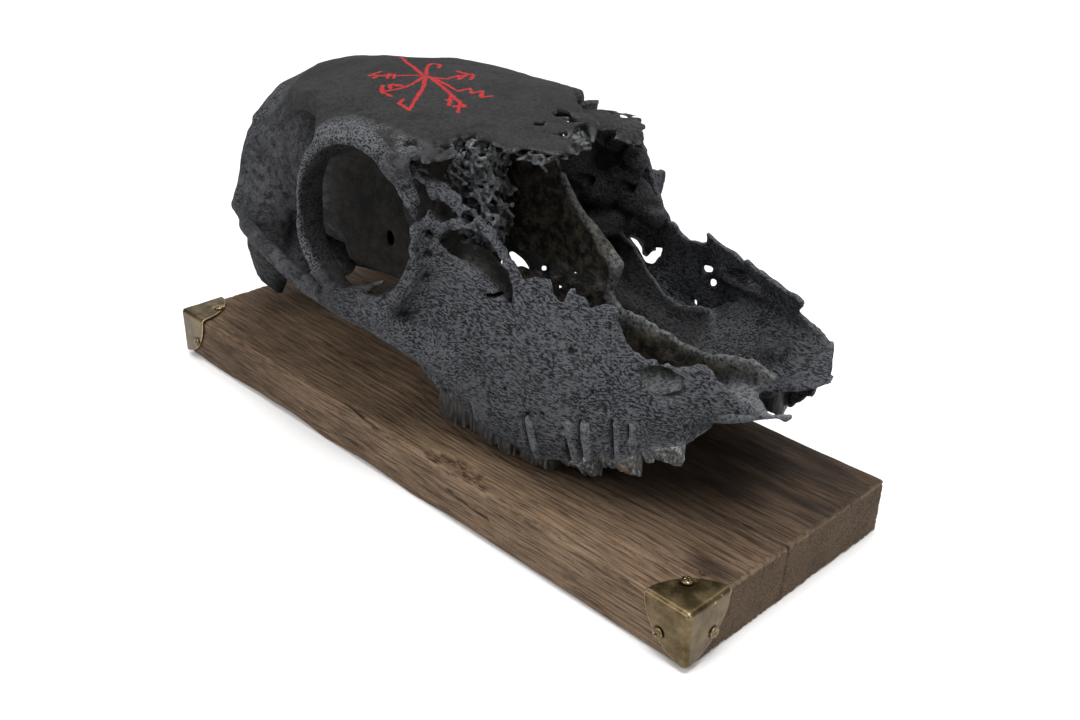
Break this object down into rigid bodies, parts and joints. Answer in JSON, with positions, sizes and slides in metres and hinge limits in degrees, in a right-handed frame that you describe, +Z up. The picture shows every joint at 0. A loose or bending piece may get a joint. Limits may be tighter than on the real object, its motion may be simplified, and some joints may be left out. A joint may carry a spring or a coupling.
{
  "type": "elk skull",
  "caption": "Black-stained hornless elk skull with a broken snout, resting on a weathered board with brass corner caps; a display piece that stands on the board's flat underside.",
  "frame": {"origin": "middle of the board's flat underside", "axes": "+X along the head to the snout, +Y to the animal's left, +Z up"},
  "size_m": [0.3391, 0.1768, 0.1519],
  "materials": {
    "bone": "dry bone stained black with a blue-grey bloom, porous and cracked, a red brushed sign on the forehead",
    "tooth": "stained worn teeth with paler broken rims",
    "wood": "dark brown weathered softwood with open grain, gouges and cracks",
    "brass": "aged, dull and darkened in the hollows"
  },
  "bodies": {
    "root": {"skull": "bone", "tooth_near_m3": "tooth", "tooth_near_m2": "tooth", "tooth_near_m1": "tooth", "tooth_near_p4": "tooth", "tooth_near_p3": "tooth", "tooth_near_p2": "tooth", "tooth_far_m3": "tooth", "tooth_far_m2": "tooth", "tooth_far_m1": "tooth", "tooth_far_p4": "tooth", "tooth_far_p3": "tooth", "tooth_far_p2": "tooth", "board": "wood", "cap_front": "brass", "cap_back": "brass", "screw_front_top": "brass", "screw_front_side": "brass", "screw_front_end": "brass", "screw_back_top": "brass", "screw_back_side": "brass", "screw_back_end": "brass"}
  },
  "joints": []
}
